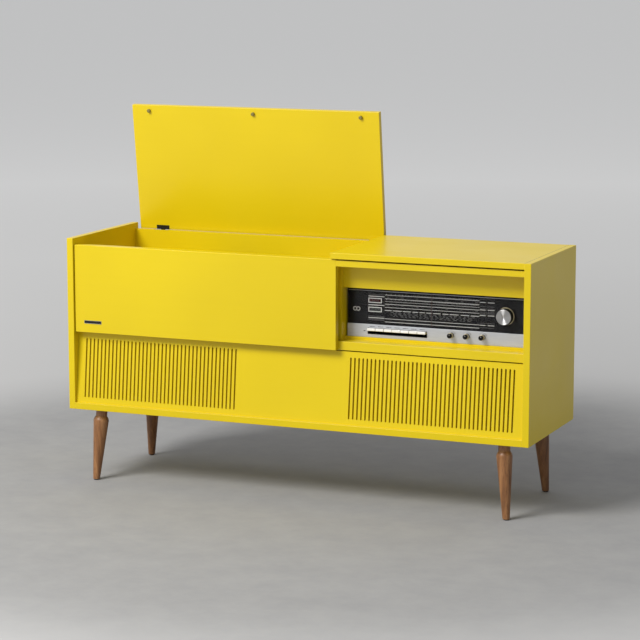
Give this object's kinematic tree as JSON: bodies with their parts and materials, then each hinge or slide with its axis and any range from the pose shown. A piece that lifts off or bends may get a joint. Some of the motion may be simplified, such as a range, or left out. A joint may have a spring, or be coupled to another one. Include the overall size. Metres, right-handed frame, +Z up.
{
  "type": "radio phonograph console",
  "caption": "Low console on turned legs with a lidded record well, a radio with piano keys and dial, and slotted loudspeaker grilles.",
  "frame": {"origin": "on the floor, under the middle of the box around the whole console with its lid open", "axes": "+X to the right along the front, as seen by a person facing it, +Y from the front to the back, +Z up"},
  "size_m": [1.32, 0.4164, 1.0124],
  "materials": {
    "yellow_lacquer": "satin",
    "turned_leg": "satin",
    "hardboard": "matte",
    "grille_cloth": "matte",
    "black_steel": "satin",
    "bright_steel": "satin",
    "iron": "matte",
    "black_rubber": "matte",
    "black_plastic": "satin",
    "ivory_plastic": "gloss",
    "aluminium": "brushed",
    "dial_glass": "gloss",
    "pointer_red": "satin",
    "knob_brass": "polished",
    "player_enamel": "satin",
    "valve_glass": "gloss",
    "cone_paper": "matte"
  },
  "bodies": {
    "cabinet": {"side_panel_left": "yellow_lacquer", "side_panel_right": "yellow_lacquer", "bottom_panel": "yellow_lacquer", "top_panel": "yellow_lacquer", "well_back_panel": "yellow_lacquer", "divider": "yellow_lacquer", "upper_rail": "yellow_lacquer", "lower_rail": "yellow_lacquer", "niche_rail": "yellow_lacquer", "record_bay_front": "yellow_lacquer", "front_badge": "black_plastic", "baffle": "yellow_lacquer", "grille_cloths": "grille_cloth", "leg_front_left": "turned_leg", "leg_front_right": "turned_leg", "leg_rear_left": "turned_leg", "leg_rear_right": "turned_leg", "leg_plates": "black_steel", "leg_glides": "bright_steel", "deck_board": "yellow_lacquer", "radio_shelf": "yellow_lacquer", "radio_fascia": "yellow_lacquer", "rear_cover": "hardboard", "rear_cover_screws": "bright_steel", "lid_hinges_fixed": "black_steel", "radio_chassis": "bright_steel", "radio_front_plate": "black_steel", "control_panel": "aluminium", "dial_glass": "dial_glass", "key_frame": "black_steel", "power_transformer": "iron", "radio_valves": "valve_glass", "speaker_frames": "iron", "speaker_cones": "cone_paper", "player_plate": "player_enamel", "player_fittings": "bright_steel", "player_motor": "iron", "socket_plate": "black_plastic"},
    "lid": {"lid_panel": "yellow_lacquer", "lid_pads": "black_rubber", "lid_hinges_moving": "black_steel"},
    "pointer": {"dial_pointer": "pointer_red"},
    "tuning": {"tuning_knob": "aluminium"},
    "volume": {"volume_knob": "knob_brass"},
    "bass": {"bass_knob": "knob_brass"},
    "treble": {"treble_knob": "knob_brass"},
    "platter": {"platter": "aluminium", "platter_mat": "black_rubber"},
    "arm_bearing": {"tonearm_bearing": "aluminium"},
    "tonearm": {"tonearm": "aluminium"},
    "switch": {"player_switch": "ivory_plastic"},
    "key_1": {"piano_key_1": "ivory_plastic"},
    "key_2": {"piano_key_2": "ivory_plastic"},
    "key_3": {"piano_key_3": "ivory_plastic"},
    "key_4": {"piano_key_4": "ivory_plastic"},
    "key_5": {"piano_key_5": "ivory_plastic"},
    "key_6": {"piano_key_6": "ivory_plastic"},
    "key_7": {"piano_key_7": "ivory_plastic"}
  },
  "joints": [
    {"name": "lid_hinge", "type": "hinge", "parent": "cabinet", "child": "lid", "pos_m": [-0.263, 0.18825, 0.6515], "axis": [1, 0, 0], "range_deg": [0, 82.66]},
    {"name": "tuning_turn", "type": "hinge", "parent": "cabinet", "child": "tuning", "pos_m": [0.5723, -0.15815, 0.5231], "axis": [0, -1, 0], "range_deg": [-540, 540]},
    {"name": "pointer_slide", "type": "slide", "parent": "cabinet", "child": "pointer", "axis": [1, 0, 0], "range_m": [-0.1205, 0.1205]},
    {"name": "volume_turn", "type": "hinge", "parent": "cabinet", "child": "volume", "pos_m": [0.4243, -0.13665, 0.4644], "axis": [0, 1, 0], "range_deg": [0, 270]},
    {"name": "bass_turn", "type": "hinge", "parent": "cabinet", "child": "bass", "pos_m": [0.46715, -0.13665, 0.4644], "axis": [0, 1, 0], "range_deg": [-135, 135]},
    {"name": "treble_turn", "type": "hinge", "parent": "cabinet", "child": "treble", "pos_m": [0.51, -0.13665, 0.4644], "axis": [0, 1, 0], "range_deg": [-135, 135]},
    {"name": "key_1_press", "type": "hinge", "parent": "cabinet", "child": "key_1", "pos_m": [0.20465, -0.09215, 0.46555], "axis": [1, 0, 0], "range_deg": [0, 6], "stiffness_Nm_per_rad": 1, "springref_deg": -2.86},
    {"name": "key_2_press", "type": "hinge", "parent": "cabinet", "child": "key_2", "pos_m": [0.22795, -0.09215, 0.46555], "axis": [1, 0, 0], "range_deg": [0, 6], "stiffness_Nm_per_rad": 1, "springref_deg": -2.86},
    {"name": "key_3_press", "type": "hinge", "parent": "cabinet", "child": "key_3", "pos_m": [0.25125, -0.09215, 0.46555], "axis": [1, 0, 0], "range_deg": [0, 6], "stiffness_Nm_per_rad": 1, "springref_deg": -2.86},
    {"name": "key_4_press", "type": "hinge", "parent": "cabinet", "child": "key_4", "pos_m": [0.27455, -0.09215, 0.46555], "axis": [1, 0, 0], "range_deg": [0, 6], "stiffness_Nm_per_rad": 1, "springref_deg": -2.86},
    {"name": "key_5_press", "type": "hinge", "parent": "cabinet", "child": "key_5", "pos_m": [0.29785, -0.09215, 0.46555], "axis": [1, 0, 0], "range_deg": [0, 6], "stiffness_Nm_per_rad": 1, "springref_deg": -2.86},
    {"name": "key_6_press", "type": "hinge", "parent": "cabinet", "child": "key_6", "pos_m": [0.32115, -0.09215, 0.46555], "axis": [1, 0, 0], "range_deg": [0, 6], "stiffness_Nm_per_rad": 1, "springref_deg": -2.86},
    {"name": "key_7_press", "type": "hinge", "parent": "cabinet", "child": "key_7", "pos_m": [0.34445, -0.09215, 0.46555], "axis": [1, 0, 0], "range_deg": [0, 6], "stiffness_Nm_per_rad": 1, "springref_deg": -2.86},
    {"name": "platter_spin", "type": "hinge", "parent": "cabinet", "child": "platter", "pos_m": [-0.295, 0.00135, 0.5545], "axis": [0, 0, 1], "continuous": true},
    {"name": "arm_swing", "type": "hinge", "parent": "cabinet", "child": "arm_bearing", "pos_m": [-0.13, 0.09335, 0.568], "axis": [0, 0, -1], "range_deg": [0, 45]},
    {"name": "arm_lift", "type": "hinge", "parent": "arm_bearing", "child": "tonearm", "pos_m": [-0.13, 0.09335, 0.568], "axis": [-1, 0, 0], "range_deg": [0, 15]},
    {"name": "switch_turn", "type": "hinge", "parent": "cabinet", "child": "switch", "pos_m": [-0.134, -0.11865, 0.5315], "axis": [0, 0, 1], "range_deg": [-25, 25]}
  ],
  "couplings": [
    {"joint": "pointer_slide", "follows": "tuning_turn", "m_per_rad": 0.012732}
  ]
}
